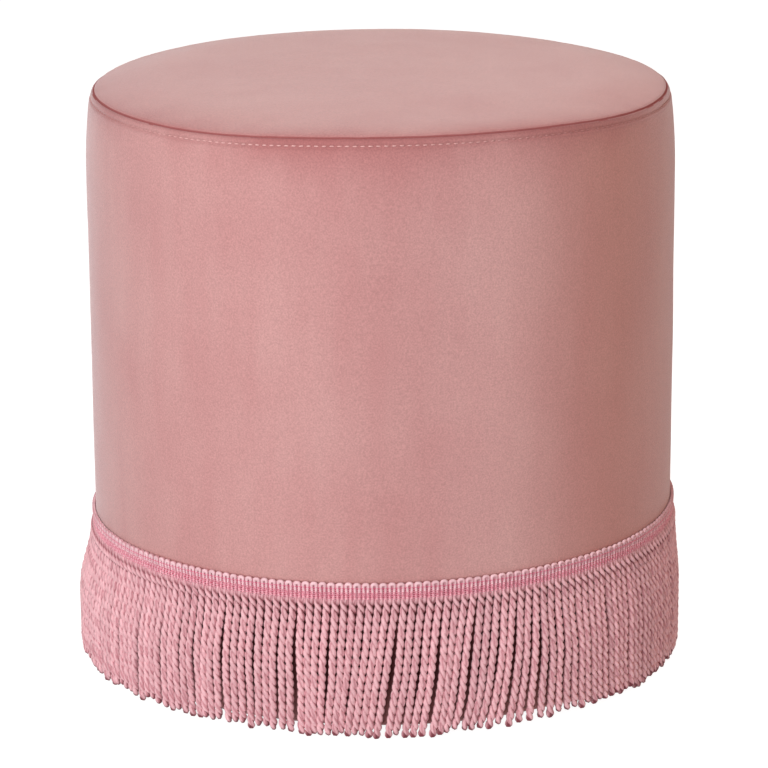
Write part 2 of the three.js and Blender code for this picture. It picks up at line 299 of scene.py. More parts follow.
# Soft blotches, long streaks down the cloth and a fine grain, as brushed pile shows them
def makePileGroup():
    inputs = {"Vector": None, "Blotch size": 0.08, "Grain size": 0.001}
    group, given, result = newGroup("brushedPile", inputs, ["Brushed", "Grain", "Height"])
    place = given["Vector"]
    coarse = ratio(1.0, given["Blotch size"])
    fine = ratio(1.0, given["Grain size"])
    cloud = {"Vector": place, "Scale": coarse, "Detail": 3.0, "Roughness": 0.55}
    blotch = through("ShaderNodeTexNoise", cloud)
    stretched = through("ShaderNodeMapping", {"Vector": place, "Scale": (1.0, 1.0, 0.16)})
    streak = noiseAt(stretched, times(coarse, 5.0))
    both = timesPlus(streak, 0.35, times(blotch, 0.65))
    connect(result["Brushed"], remap(both, 0.34, 0.66, 0.0, 1.0))
    grain = noiseAt(place, fine)
    connect(result["Grain"], grain)
    connect(result["Height"], plus(grain, noiseAt(place, times(fine, 2.6))))
    return group


# Two yarns laid side by side along a cord, read from the cord's own attributes
def makeYarnGroup():
    inputs = {"Twist": 500.0, "Sharpness": 3.0}
    group, given, result = newGroup("laidYarns", inputs, ["Groove", "Height"])
    along = attribute(group, "along")
    angle = angleOf(split(attribute(group, "around", "Vector")))
    phase = timesPlus(along, given["Twist"], times(angle, 2.0))
    wave = timesPlus(calc("COSINE", phase), 0.5, 0.5)
    groove = calc("POWER", wave, given["Sharpness"])
    connect(result["Groove"], groove)
    hairPhase = timesPlus(along, 2400.0, times(angle, 9.0))
    hair = timesPlus(calc("SINE", hairPhase), 0.5, 0.5)
    connect(result["Height"], timesPlus(hair, 0.12, minus(1.0, groove)))
    return group


# Growth rings cut lengthways, or the plies of a board's face
def makeGrainGroup():
    colours = {"Light": (0.6, 0.42, 0.23, 1), "Dark": (0.35, 0.2, 0.09, 1)}
    inputs = {"Vector": None, "Ring size": 0.006, **colours}
    group, given, result = newGroup("woodGrain", inputs, ["Color", "Height"])
    place = given["Vector"]
    scale = ratio(0.3, given["Ring size"])
    bands = {"Vector": place, "Scale": scale, "Distortion": 2.5, "Detail": 3.0, "Detail Scale": 1.4}
    wave = addNode(group, "ShaderNodeTexWave", bands, wave_type="BANDS", bands_direction="X")
    amount = timesPlus(noiseAt(place, 900.0, 3.0), 0.35, times(wave.outputs[1], 0.65))
    connect(result["Color"], blend(amount, given["Light"], given["Dark"]))
    connect(result["Height"], amount)
    return group


brushedPile = makePileGroup()
laidYarns = makeYarnGroup()
woodGrain = makeGrainGroup()

velvetLook = {
    "light": (0.592, 0.316, 0.302, 1),
    "dark": (0.543, 0.26, 0.252, 1),
    # The next two colours are painted shade: a band near the seam, where the pile is also pulled down,
    # and the crease with the lines under the stitching and over the braid
    "seamShade": (0.39, 0.122, 0.12, 1),
    "crease": (0.25, 0.08, 0.08, 1),
    "creaseWidth": 0.0015,
    "creaseShade": 0.65,
    "stitchShade": 0.26,
    "braidShade": 0.6,
    # The next colour is painted shade behind the cords
    "shadeBehindFringe": (0.1, 0.018, 0.02, 1),
    "fringeShade": 0.85,
    "sideReach": 0.018,
    "topReach": 0.013,
    "topPullAndShade": 0.6,
    "stitchWidth": 0.0012,
    "blotch": 0.09,
    "grain": 0.0011,
    # patches round the drum: angle, width, amount on the side and on the top, colour, and how far from
    # the crease it reaches. Some are pile stroked another way; the lighter patch right of the front and
    # the brown one further right are painted light and painted shade where the light falls off round the
    # side; those that end within 16 mm of the crease are painted shade along it
    "pileAndShadePatches": [
        (-1.57, 0.13, 0.22, 0.0, (0.46, 0.19, 0.185, 1), 1.0),
        (-1.15, 0.17, 0.45, 0.0, (0.72, 0.41, 0.39, 1), 1.0),
        (-0.68, 0.31, 0.55, 0.0, (0.478, 0.17, 0.12, 1), 1.0),
        (-1.62, 0.26, 0.55, 0.0, (0.39, 0.122, 0.12, 1), 0.016),
        (-0.75, 0.3, 0.5, 0.0, (0.3, 0.105, 0.095, 1), 0.006),
        (-2.4, 0.32, 0.0, 0.6, (0.39, 0.122, 0.12, 1), 0.015),
    ],
}


# 1 at the middle angle, and less the further an angle is from it
def nearAngle(angle, middle, width):
    return hump(ratio(minus(angle, middle), width))


# Heights read as if the braid ran level
def levelHeight(spot):
    cosine = ratio(spot[0], bodyRadius)
    dip = times(times(cosine, cosine), braidDip)
    return plus(timesPlus(cosine, -braidSlant, spot[2]), dip)


# Patches of colour round the drum: pile stroked another way in places, and painted light and shade round
# the side and along the crease
def strokePile(cloth, angle, away, onTop):
    for middle, width, onSide, above, colour, reach in velvetLook["pileAndShadePatches"]:
        fading = calc("EXPONENT", ratio(away, -reach))
        amount = timesPlus(onTop, above - onSide, onSide)
        share = times(nearAngle(angle, middle, width), fading)
        cloth = blend(times(share, amount), cloth, colour)
    return cloth


# Painted shade along the seam: a dark line in the crease, a painted shadow under the stitching, and a
# darker band near the seam where the pile is pulled down, darkened further as painted shade for the less
# sheen it catches there
def shadeSeams(cloth, place, fromSeam, away, onTop):
    look = velvetLook
    reach = timesPlus(onTop, look["topReach"] - look["sideReach"], look["sideReach"])
    near = calc("EXPONENT", times(ratio(away, reach), -1.0))
    # The band near the seam: pile pulled down, with painted shade for the less sheen it catches
    pulled = times(near, remap(noiseAt(place, 16.0), 0.38, 0.62, 0.22, 0.8))
    pulled = times(pulled, timesPlus(onTop, look["topPullAndShade"] - 1.0, 1.0))
    cloth = blend(pulled, cloth, look["seamShade"])
    # Painted shadow just under the stitching
    offStitches = minus(fromSeam, stitchDrop + look["stitchWidth"])
    stitchShadow = hump(ratio(offStitches, look["stitchWidth"]))
    cloth = blend(times(stitchShadow, look["stitchShade"]), cloth, look["crease"])
    # Painted shade in the crease
    creaseShadowLine = calc("EXPONENT", ratio(away, -look["creaseWidth"]))
    return blend(times(creaseShadowLine, look["creaseShade"]), cloth, look["crease"])


# Painted shade behind the cords, less of it towards the hem where light comes in from below, and a thin
# painted shadow line over the braid
def shadeAtFringe(cloth, height):
    look = velvetLook
    hidden = ease(height, braidTop - 0.004, braidTop - 0.016, 0.0, look["fringeShade"])
    hidden = times(hidden, ease(height, 0.048, 0.016, 1.0, 0.45))
    cloth = blend(hidden, cloth, look["shadeBehindFringe"])
    overBraid = ease(height, braidTop + 0.0001, braidTop - 0.001, 0.0, look["braidShade"])
    overBraid = times(overBraid, calc("GREATER_THAN", height, braidTop - 0.004))
    return blend(overBraid, cloth, look["crease"])


def makeVelvet(name, sheen):
    constants = {
        "Roughness": 0.92,
        "Specular IOR Level": 0.4 * sheen,
        "Sheen Weight": sheen,
        "Sheen Roughness": 0.42,
        "Sheen Tint": (0.98, 0.93, 0.95, 1),
    }
    made, tree = newMaterial(name, constants)
    place = objectPlace(tree)
    sizes = {"Vector": place, "Blotch size": velvetLook["blotch"], "Grain size": velvetLook["grain"]}
    pile = useGroup(tree, brushedPile, sizes)
    fromSeam = attribute(tree, "fromSeam")
    away = calc("ABSOLUTE", fromSeam)
    onTop = calc("LESS_THAN", fromSeam, 0.0)
    spot = split(place)
    cloth = blend(pile["Brushed"], velvetLook["light"], velvetLook["dark"])
    cloth = strokePile(cloth, angleOf(spot), away, onTop)
    cloth = shadeSeams(cloth, place, fromSeam, away, onTop)
    cloth = shadeAtFringe(cloth, levelHeight(spot))
    cloth = brighten(cloth, remap(pile["Grain"], 0.3, 0.7, 0.88, 1.12))
    return dress(made, cloth, pile["Height"], 0.0003, 0.5)


# Painted shade in the crease: a dark velvet without sheen for the folded edges inside it
def makeFold():
    made, tree = newMaterial("creaseShadowVelvet", {"Roughness": 1.0, "Specular IOR Level": 0.1})
    lint = noiseAt(objectPlace(tree), 800.0)
    return dress(made, blend(lint, velvetLook["crease"], velvetLook["seamShade"]), lint, 0.0002, 0.5)


cordLook = {
    "yarn": (0.865, 0.502, 0.535, 1),
    "shade": (0.53, 0.2, 0.235, 1),
    "braidYarn": (1.0, 0.71, 0.75, 1),
    "braidDark": (0.66, 0.085, 0.165, 1),
    "weft": (0.99, 0.58, 0.66, 1),
    "binding": (0.9, 0.3, 0.42, 1),
    "bandEdge": (0.9, 0.42, 0.5, 1),
    "bandDark": (0.46, 0.035, 0.095, 1),
    # The next colour is painted shade towards a cord's core; the two distances after it are where that
    # shade is full and where it ends
    "core": (0.21, 0.04, 0.052, 1),
    "coreDark": 0.00196,
    "coreLight": 0.00269,
}


# A yarn of two colours of cordLook. Rows tells where weft presses notches into a braid's yarn, darkened
# as painted shade; a yarn without it hangs in a cord, and has painted shade towards the cord's core,
# between its plies.
def makeYarn(name, lit, dark, twist, grooveDepth, rows=None):
    yarn, shade = cordLook[lit], cordLook[dark]
    constants = {
        "Roughness": 0.5,
        "Specular IOR Level": 0.18,
        "Sheen Weight": 0.2,
        "Sheen Roughness": 0.4,
        "Sheen Tint": (1.0, 0.8, 0.84, 1),
    }
    made, tree = newMaterial(name, constants)
    laid = useGroup(tree, laidYarns, {"Twist": twist, "Sharpness": 4.0})
    mottle = noiseAt(objectPlace(tree), 260.0)
    light = blend(remap(mottle, 0.35, 0.65, 0.0, 0.25), yarn, shade)
    # Painted shade in the grooves between the laid yarns
    light = blend(times(laid["Groove"], 0.8), light, shade)
    along = attribute(tree, "along")
    if rows:
        # Painted shade in the notches where the weft crosses the ribs
        step = ratio(minus(along, rows["low"]), rows["pitch"] / fullTurn)
        notch = ease(calc("COSINE", step), 0.5, -0.5, 0.0, rows["depth"])
        notch = times(notch, calc("LESS_THAN", along, rows["high"]))
        light = blend(notch, light, rows["colour"])
        # A quarter of painted shade on the caps above the rows; weft and binding, which have no rows,
        # take that quarter all along
        light = blend(remap(along, rows["high"], rows["high"] + 0.0012, 0.0, 0.25), light, shade)
    else:
        # Painted shade towards the cord's core, in the grooves between the plies; less of it where the
        # legs leave the braid
        fromCore = attribute(tree, "fromCore")
        between = ease(fromCore, cordLook["coreDark"], cordLook["coreLight"], 0.95, 0.0)
        between = times(between, remap(along, 0.001, 0.005, 0.12, 1.0))
        light = blend(between, light, cordLook["core"])
    varied = remap(attribute(tree, "tone"), 0.0, 1.0, 0.93, 1.05)
    return dress(made, brighten(light, varied), laid["Height"], grooveDepth)


threadLook = {
    "light": (0.88, 0.55, 0.53, 1),
    "dark": (0.74, 0.4, 0.38, 1),
    "darkThread": (0.42, 0.17, 0.16, 1),
    # where the thread is darker: angle, width and amount; the arc right of the front is painted shade,
    # where the stitching lies in shade
    "deep": [(-0.78, 0.56, 0.92), (-2.75, 0.42, 0.85)],
}


def makeThread():
    made, tree = newMaterial("stitchThread", {"Roughness": 0.6, "Specular IOR Level": 0.25})
    place = objectPlace(tree)
    amount = remap(noiseAt(place, 2600.0), 0.35, 0.65, 0.0, 1.0)
    angle = angleOf(split(place))
    thread = blend(amount, threadLook["light"], threadLook["dark"])
    # Darker arcs of thread; the one right of the front is painted shade
    for middle, width, share in threadLook["deep"]:
        darkThread = times(nearAngle(angle, middle, width), share)
        thread = blend(darkThread, thread, threadLook["darkThread"])
    return dress(made, thread, amount, 0.0001)


def makeWeave():
    constants = {"Roughness": 0.8, "Sheen Weight": 0.2, "Sheen Roughness": 0.4}
    made, tree = newMaterial("braidWeave", constants)
    place = objectPlace(tree)
    rows = addNode(tree, "ShaderNodeTexWave", {"Vector": place, "Scale": 260.0}, bands_direction="Z")
    amount = timesPlus(noiseAt(place, 900.0), 0.5, times(rows.outputs[1], 0.5))
    # The band's dark woven colours are painted shade between the ribs
    woven = blend(amount, cordLook["braidDark"], cordLook["bandDark"])
    height = levelHeight(split(place))
    # Painted light at the band's top edge, inside the slots of the caps
    edge = remap(height, braidTop - 0.004, braidTop - 0.0033, 0.0, 1.0)
    return dress(made, blend(edge, woven, cordLook["bandEdge"]), amount, 0.0002)


def makeDustCloth():
    made, tree = newMaterial("blackDustCloth", {"Roughness": 0.95, "Specular IOR Level": 0.2})
    place = objectPlace(tree)
    dots = through("ShaderNodeTexVoronoi", {"Vector": place, "Scale": 700.0, "Randomness": 0.15})
    lint = remap(noiseAt(place, 1400.0, 3.0), 0.35, 0.7, 0.0, 1.0)
    colour = blend(lint, (0.01, 0.01, 0.011, 1), (0.035, 0.034, 0.036, 1))
    return dress(made, colour, plus(dots, times(lint, 0.3)), 0.0003, 0.7)


def makeWood(name, light, dark, ringSize, roughness, turn=(0.0, 0.0, 0.0)):
    made, tree = newMaterial(name, {"Roughness": roughness, "Specular IOR Level": 0.35})
    place = through("ShaderNodeMapping", {"Vector": objectPlace(tree), "Rotation": turn})
    stretched = through("ShaderNodeMapping", {"Vector": place, "Scale": (1.0, 0.12, 1.0)})
    cut = {"Vector": stretched, "Ring size": ringSize, "Light": light, "Dark": dark}
    grain = useGroup(tree, woodGrain, cut)
    return dress(made, grain["Color"], grain["Height"], 0.0003, 0.4)


def makePlastic():
    made, tree = newMaterial("glidePlastic", {"Specular IOR Level": 0.5})
    scuff = noiseAt(objectPlace(tree), 500.0, 4.0)
    setLook(made, {"Roughness": remap(scuff, 0.3, 0.7, 0.38, 0.6)})
    worn = remap(scuff, 0.4, 0.7, 0.0, 1.0)
    colour = blend(worn, (0.012, 0.012, 0.012, 1), (0.035, 0.034, 0.033, 1))
    return dress(made, colour, scuff, 0.0001, 0.4)


def makeSteel():
    made, tree = newMaterial("screwSteel", {"Metallic": 1.0})
    brushed = noiseAt(objectPlace(tree), 1500.0, 3.0)
    setLook(made, {"Roughness": remap(brushed, 0.3, 0.7, 0.25, 0.45)})
    colour = blend(brushed, (0.52, 0.5, 0.46, 1), (0.66, 0.65, 0.62, 1))
    return dress(made, colour, brushed, 0.00005, 0.3)


def makeFoam():
    made, tree = newMaterial("seatFoam", {"Roughness": 0.95, "Specular IOR Level": 0.15})
    cells = through("ShaderNodeTexVoronoi", {"Vector": objectPlace(tree), "Scale": 650.0})
    colour = blend(cells, (0.78, 0.72, 0.52, 1), (0.86, 0.82, 0.66, 1))
    return dress(made, colour, cells, 0.0008, 0.6)


velvet = makeVelvet("blushVelvet", 0.6)
# a copy without sheen, as painted shade behind the cords
shadedFlatVelvet = makeVelvet("shadedFlattenedVelvet", 0.0)
creaseShadowCloth = makeFold()
cordYarn = makeYarn("bullionYarn", "yarn", "shade", 420.0, 0.0003)
braidRows = {"low": 0.0957, "high": 0.1038, "pitch": 0.00139, "depth": 0.95}
# the colour of the painted shade in the notches
braidRows["colour"] = (0.74, 0.1, 0.19, 1)
noRows = {"low": 0.0, "high": -100.0, "pitch": 1.0, "depth": 0.0, "colour": cordLook["shade"]}
braidYarn = makeYarn("braidYarn", "braidYarn", "shade", 900.0, 0.0001, braidRows)
weftYarn = makeYarn("weftYarn", "weft", "braidDark", 900.0, 0.0001, noRows)
bindingYarn = makeYarn("bindingYarn", "binding", "braidDark", 900.0, 0.0001, noRows)
braidWeave = makeWeave()
stitchThread = makeThread()
dustCloth = makeDustCloth()
plywood = makeWood("birchPly", (0.62, 0.45, 0.26, 1), (0.42, 0.26, 0.12, 1), 0.009, 0.6)
onEnd = (math.pi / 2, 0, 0)
pine = makeWood("pineBatten", (0.7, 0.5, 0.27, 1), (0.47, 0.28, 0.12, 1), 0.005, 0.6, onEnd)
hardboard = makeWood("brownHardboard", (0.22, 0.12, 0.06, 1), (0.14, 0.075, 0.035, 1), 0.0015, 0.75)
glidePlastic = makePlastic()
screwSteel = makeSteel()
foam = makeFoam()
print("materials are made")

cadFinishes = {
    "base_board": plywood,
    "top_board": plywood,
    "drum_wall": hardboard,
    "post": pine,
    "top_screw": screwSteel,
    "base_screw": screwSteel,
    "foot_screw": screwSteel,
    "foot": glidePlastic,
}


def finishCadNodes():
    for name, node in nodes.items():
        kind = name.rstrip("_0123456789")
        for place in node.material_slots:
            place.material = cadFinishes.get(kind, place.material)


finishCadNodes()

drum = {
    "shoulderDepth": 0.056,
    "shoulderDraw": 0.0041,
    "shoulderPower": 2.1,
    "seamRoll": 0.0014,
    "seamRollDepth": 0.007,
    "crownPower": 3.8,
    "crownEdge": 1.9,
    "sag": 0.0026,
    "lift": 0.0013,
    "highAngle": -1.35,
    "velvet": 0.0012,
    "clearance": 0.0003,
    "foldDepth": 0.012,
    "hemWidth": 0.03,
    "hemCorner": 0.004,
    "turns": 288,
}


def rise(value, low, high):
    share = min(1.0, max(0.0, (value - low) / (high - low)))
    return share * share * (3 - 2 * share)


# The velvet's outer radius on the side: straight, then drawn in by the soft shoulder and the seam
def coverRadius(height):
    drop = seamHeight - height
    shoulder = drum["shoulderDraw"] * max(0.0, 1 - drop / drum["shoulderDepth"]) ** drum["shoulderPower"]
    roll = drum["seamRoll"] * max(0.0, 1 - drop / drum["seamRollDepth"]) ** 2
    return bodyRadius - shoulder - roll


seamRadius = coverRadius(seamHeight)


# The velvet's outer height on the top
def crownHeight(radius):
    inside = max(0.0, 1 - (radius / seamRadius) ** drum["crownPower"])
    return seamHeight + (crownTop - seamHeight) * inside ** (1 / drum["crownEdge"])


# The crease rides highest at the front and a little lower round the rest
def seamSag(angle):
    toFront = abs((angle - drum["highAngle"] + math.pi) % fullTurn - math.pi)
    lift = drum["lift"] * (1 - rise(toFront, 0.1, 0.75))
    return drum["sag"] * rise(toFront, 0.35, 1.0) * (1 - 0.5 * rise(toFront, 1.9, 2.8)) - lift


def spread(low, high, steps):
    return [low + (high - low) * i / steps for i in range(steps + 1)]


evenAngles = [fullTurn * i / drum["turns"] for i in range(drum["turns"])]


# The braid's height over its mean line
def braidRise(angle):
    cosine = np.cos(angle)
    return braidSlant * cosine - braidDip * cosine * cosine


# Carries the braid, and the cords with it, up or down to the braid's slanting line
def setAslant(made):
    places = np.empty(len(made.data.vertices) * 3, dtype=np.float32)
    made.data.vertices.foreach_get("co", places)
    x, y, z = places.reshape(-1, 3).T
    share = np.clip((z - fringeEnd) / (braidBottom - fringeEnd), 0.0, 1.0)
    z += braidRise(np.arctan2(y, x)) * share
    made.data.vertices.foreach_set("co", places)
    made.data.update()
    return made


# Turns an outline of (radius, height) points about the drum's axis. shift moves each point, and
# fromSeam keeps each point's distance from the crease for the materials.
def spun(name, outline, angles, shift, fromSeam):
    turns = len(angles)
    points = []
    rings = []
    distance = []
    for radius, height in outline:
        count = turns if radius > 1e-6 else 1
        rings.append([len(points) + i % count for i in range(turns)])
        for angle in angles[:count]:
            out, up = shift(radius, angle, height)
            points.append((out * math.cos(angle), out * math.sin(angle), up))
            distance.append(fromSeam(radius, height))
    faces = []
    strips = len(rings) if outline[0][0] > 1e-6 else len(rings) - 1
    for j in range(strips):
        one, other = rings[j], rings[(j + 1) % len(rings)]
        for i in range(turns):
            after = (i + 1) % turns
            corners = list(dict.fromkeys([one[i], one[after], other[after], other[i]]))
            faces.append(corners)
    mesh = bpy.data.meshes.new(name)
    mesh.from_pydata(points, [], faces)
    volume = sum(Vector(f.center).dot(f.normal) * f.area for f in mesh.polygons)
    if volume < 0:
        mesh.flip_normals()
    mesh.shade_smooth()
    layer = mesh.attributes.new("fromSeam", "FLOAT", "POINT")
    layer.data.foreach_set("value", np.array(distance, dtype=np.float32))
    return mesh


def still(radius, angle, height):
    return radius, height


def nowhere(radius, height):
    return 1.0


def asPiece(made, replaced=()):
    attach(made, "root")
    if replaced:
        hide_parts(*replaced)
    return made


# A piece turned about the drum's axis, in place of a node of the frame
def turnedPiece(name, outline, shift, finish, replaced, angles=evenAngles, fromSeam=nowhere):
    mesh = spun(name, outline, angles, shift, fromSeam)
    mesh.materials.append(finish)
    return asPiece(link(name, mesh), [replaced])


# Gives the faces near the crease, between two radii, the dark material of painted crease shade
def foldEdges(mesh, inner, outer):
    mesh.materials.append(creaseShadowCloth)
    for face in mesh.polygons:
        radius = math.hypot(face.center.x, face.center.y)
        if inner < radius < outer and face.center.z > seamHeight - drum["foldDepth"]:
            face.material_index = 1


# A copy of the velvet without sheen where the fringe covers it and the pile lies flat: a shaded copy, as
# painted shade behind the cords
def flattenUnderFringe(mesh):
    mesh.materials.append(shadedFlatVelvet)
    for face in mesh.polygons:
        radius = math.hypot(face.center.x, face.center.y)
        highest = braidTop - 0.003 + braidRise(math.atan2(face.center.y, face.center.x))
        if radius > bodyRadius - 0.004 and 0.022 < face.center.z < highest:
            face.material_index = 2


# Slow unevenness of cloth pulled over padding, round the side or across a flat
def waviness(angle, height, size, seed):
    place = Vector((math.cos(angle), math.sin(angle), height / bodyRadius)) * (bodyRadius / size)
    return noise.noise(place + Vector((seed, 0, 0)))


def flatWaviness(radius, angle, size):
    return noise.noise(Vector((radius * math.cos(angle), radius * math.sin(angle), 0)) / size)


sidePlan = {
    "stitchPitch": 0.0049,
    "stitchSink": 0.00012,
    "stitchGroove": 0.0007,
    "grooveWidth": 0.001,
    "pucker": 0.0003,
    "puckerSize": 0.014,
    "puckerReach": 0.014,
    "wave": 0.0007,
    "waveSize": 0.07,
    "joinAngle": math.pi / 2,
    "joinDip": 0.0012,
    "joinWidth": 0.0009,
}


def sideShift(radius, angle, height):
    plan = sidePlan
    drop = seamHeight - height
    groove = plan["stitchGroove"] * math.exp(-(((drop - stitchDrop) / plan["grooveWidth"]) ** 2))
    pucker = plan["pucker"] * math.exp(-drop / plan["puckerReach"])
    pucker *= waviness(angle, height, plan["puckerSize"], 7)
    free = rise(drop, 0.004, 0.04) * rise(height, 0.1, 0.14)
    wave = plan["wave"] * free * waviness(angle, height, plan["waveSize"], 3)
    offJoin = (angle - plan["joinAngle"]) * bodyRadius / plan["joinWidth"]
    join = plan["joinDip"] * math.exp(-(offJoin ** 2)) * rise(height, hemHeight, hemHeight + 0.008)
    lower = seamSag(angle) * (1 - rise(drop, 0.002, 0.07))
    return radius - groove + pucker + wave - join, height - lower


def underSeam(radius, height):
    return seamHeight - height


# The side of the cover: rolled into the crease at its top, turned under the base at its foot, and
# joined by one upright seam at the back
def makeSideCover():
    thick = drum["velvet"]
    corner = drum["hemCorner"]
    hemEdge = bodyRadius - drum["hemWidth"]
    drops = spread(0.0004, 0.01, 20) + spread(0.0115, drum["shoulderDepth"], 24)
    straight = spread(frameTop - 0.006, hemHeight + corner + 0.003, 46)
    outline = [(seamRadius - thick, seamHeight - 0.0007), (seamRadius - thick, seamHeight - 0.0002)]
    outline += [(seamRadius - thick * 0.75, seamHeight), (seamRadius - thick * 0.3, seamHeight - 0.0001)]
    outline += [(coverRadius(seamHeight - drop), seamHeight - drop) for drop in drops]
    outline += [(bodyRadius, height) for height in straight]
    for turn in spread(0.0, math.pi / 2, 7):
        across = bodyRadius - corner * (1 - math.cos(turn))
        outline.append((across, hemHeight + corner * (1 - math.sin(turn))))
    outline += [(radius, hemHeight) for radius in spread(bodyRadius - 0.008, hemEdge, 8)]
    outline += [(hemEdge, hemHeight + thick), (bodyRadius - corner, hemHeight + thick)]
    inside = [hemHeight + corner, 0.1, 0.2, 0.3] + [seamHeight - drop for drop in reversed(drops[1::4])]
    outline += [(coverRadius(height) - thick, height) for height in inside]
    atJoin = [sidePlan["joinAngle"] + offset / bodyRadius for offset in spread(-0.0024, 0.0024, 8)]
    angles = sorted(set(evenAngles) | set(atJoin))
    made = turnedPiece("sideCover", outline, sideShift, velvet, "side_cover", angles, underSeam)
    foldEdges(made.data, 0.0, seamRadius - 0.0002)
    flattenUnderFringe(made.data)


topPlan = {
    "edgeGap": 0.0009,
    "edgeDip": 0.0009,
    "edgeRoll": 0.0022,
    "lip": 0.01,
    "wave": 0.0005,
    "waveSize": 0.06,
    "pucker": 0.0003,
    "puckerSize": 0.012,
    "puckerReach": 0.01,
}


def topShift(radius, angle, height):
    plan = topPlan
    inward = seamRadius - radius
    pucker = plan["pucker"] * math.exp(-inward / plan["puckerReach"])
    pucker *= waviness(angle, height, plan["puckerSize"], 5)
    wave = plan["wave"] * flatWaviness(radius, angle, plan["waveSize"]) * rise(inward, 0.004, 0.03)
    return radius, height + wave + pucker - seamSag(angle) * (1 - rise(inward, 0.001, 0.045))


def foamShift(radius, angle, height):
    lower = seamSag(angle) * (1 - rise(seamRadius - radius, 0.001, 0.045))
    return radius, height - lower * rise(height, frameTop + 0.004, seamHeight - 0.02)


def outsideSeam(radius, height):
    return radius - seamRadius


# The round top: crowned, rolled down at its rim and tucked into the crease
def makeTopCover():
    thick = drum["velvet"]
    edge = seamRadius - topPlan["edgeGap"]
    radii = spread(0.0, 0.15, 20) + spread(0.155, edge - 0.005, 16)
    radii += spread(edge - 0.0045, edge - 0.0003, 12)

    def surface(radius):
        near = max(0.0, 1 - (edge - radius) / topPlan["edgeRoll"])
        return crownHeight(radius) - topPlan["edgeDip"] * near ** 2

    lipEnd = seamHeight - topPlan["lip"]
    outline = [(radius, surface(radius)) for radius in radii]
    outline += [(edge, surface(edge) - 0.0006), (edge, seamHeight - 0.004), (edge, lipEnd)]
    outline += [(edge - thick, lipEnd), (edge - thick, seamHeight - 0.004)]
    outline += [(edge - thick, surface(edge) - thick)]
    outline += [(radius, surface(radius) - thick) for radius in reversed(radii[:-4:3])]
    made = turnedPiece("topCover", outline, topShift, velvet, "top_cover", fromSeam=outsideSeam)
    foldEdges(made.data, edge - 0.0007, edge + 0.001)


# The seat cushion under the top cover
def makeSeatFoam():
    inset = 2 * (drum["velvet"] + drum["clearance"])
    edge = seamRadius - inset - drum["velvet"]
    under = drum["velvet"] + drum["clearance"]
    outline = [(radius, crownHeight(radius) - under - 0.0006) for radius in spread(0.0, edge - 0.002, 24)]
    outline += [(edge, seamHeight - under - 0.004)]
    lipEnd = seamHeight - topPlan["lip"] - drum["clearance"]
    outline += [(coverRadius(lipEnd) - inset, lipEnd), (coverRadius(lipEnd) - under, lipEnd - 0.001)]
    heights = spread(lipEnd - 0.004, frameTop + 0.003, 12)
    outline += [(coverRadius(height) - under - 0.0006, height) for height in heights]
    low = frameTop + drum["clearance"]
    outline += [(bodyRadius - under - 0.002, low)]
    outline += [(radius, low) for radius in spread(bodyRadius - 0.02, 0.0, 9)]
    made = turnedPiece("seatFoam", outline, foamShift, foam, "seat_foam", evenAngles[::2])


# Thin foam wrapped round the drum
def makeWallPadding():
    outer = bodyRadius - drum["velvet"] - drum["clearance"] - 0.0008
    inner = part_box("drum_wall")[1].x + drum["clearance"]
    corner = drum["hemCorner"] - drum["velvet"] - drum["clearance"]
    low = baseUnder
    outline = [(outer - 0.001, frameTop), (outer, frameTop - 0.001)]
    outline += [(outer, height) for height in spread(frameTop - 0.02, low + corner, 16)]
    outline += [(outer - corner * 0.3, low + corner * 0.3), (outer - corner, low)]
    outline += [(inner, low), (inner, frameTop)]
    made = turnedPiece("wallPadding", outline, still, foam, "wall_padding", evenAngles[::2])


makeSideCover()
makeTopCover()
makeSeatFoam()
makeWallPadding()
print("covers and padding are made")


# A Geometry Nodes tree with the inputs of a plan
def newTree(name, plan):
    tree = bpy.data.node_groups.new(name, "GeometryNodeTree")
    return tree, giveInputs(tree, plan)


# Gives a tree its one output
def completed(tree, geometry):
    tree.interface.new_socket("Geometry", in_out="OUTPUT", socket_type="NodeSocketGeometry")
    connect(tree.nodes.new("NodeGroupOutput").inputs[0], geometry)
    return tree


# Runs a tree on an empty object and keeps its result as a plain mesh
def grow(name, tree, plan):
    made = link(name, bpy.data.meshes.new(name))
    modifier = made.modifiers.new(tree.name, "NODES")
    modifier.node_group = tree
    for item in tree.interface.items_tree:
        if item.in_out == "INPUT":
            modifier[item.identifier] = plan[item.name]
    graph = bpy.context.evaluated_depsgraph_get()
    ready = made.evaluated_get(graph)
    mesh = bpy.data.meshes.new_from_object(ready, preserve_all_data_layers=True, depsgraph=graph)
    made.modifiers.clear()
    mesh.name = name
    made.data = mesh
    return made


def growQuarter(name, side, tree, plan):
    made = setAslant(grow(name + side, tree, plan))
    return asPiece(made, ["fringe_" + side.lower()])


def readValue(tree, name, kind="FLOAT"):
    return addNode(tree, "GeometryNodeInputNamedAttribute", {"Name": name}, data_type=kind).outputs[0]


def storeValue(geometry, name, value, kind="FLOAT"):
    inputs = {"Geometry": geometry, "Name": name, "Value": value}
    return through("GeometryNodeStoreNamedAttribute", inputs, data_type=kind, domain="POINT")


# Keeps the length along a yarn and its shade for the materials
def markYarn(curves, along, tone):
    return storeValue(storeValue(curves, "along", along), "tone", tone)


# A number between two ends, the same each run, for each value of which
def chance(which, seed, low, high):
    inputs = {2: low, 3: high, 7: which, 8: seed}
    return addNode(which.id_data, "FunctionNodeRandomValue", inputs, data_type="FLOAT").outputs[1]


def vector(x, y, z):
    return through("ShaderNodeCombineXYZ", {0: x, 1: y, 2: z})


# A place given by its angle round the drum, its distance out, its step sideways and its height
def roundDrum(angle, out, aside, height):
    cosine = calc("COSINE", angle)
    sine = calc("SINE", angle)
    x = minus(times(out, cosine), times(aside, sine))
    y = plus(times(out, sine), times(aside, cosine))
    return vector(x, y, height)


def moved(geometry, place):
    return through("GeometryNodeSetPosition", {"Geometry": geometry, "Position": place})


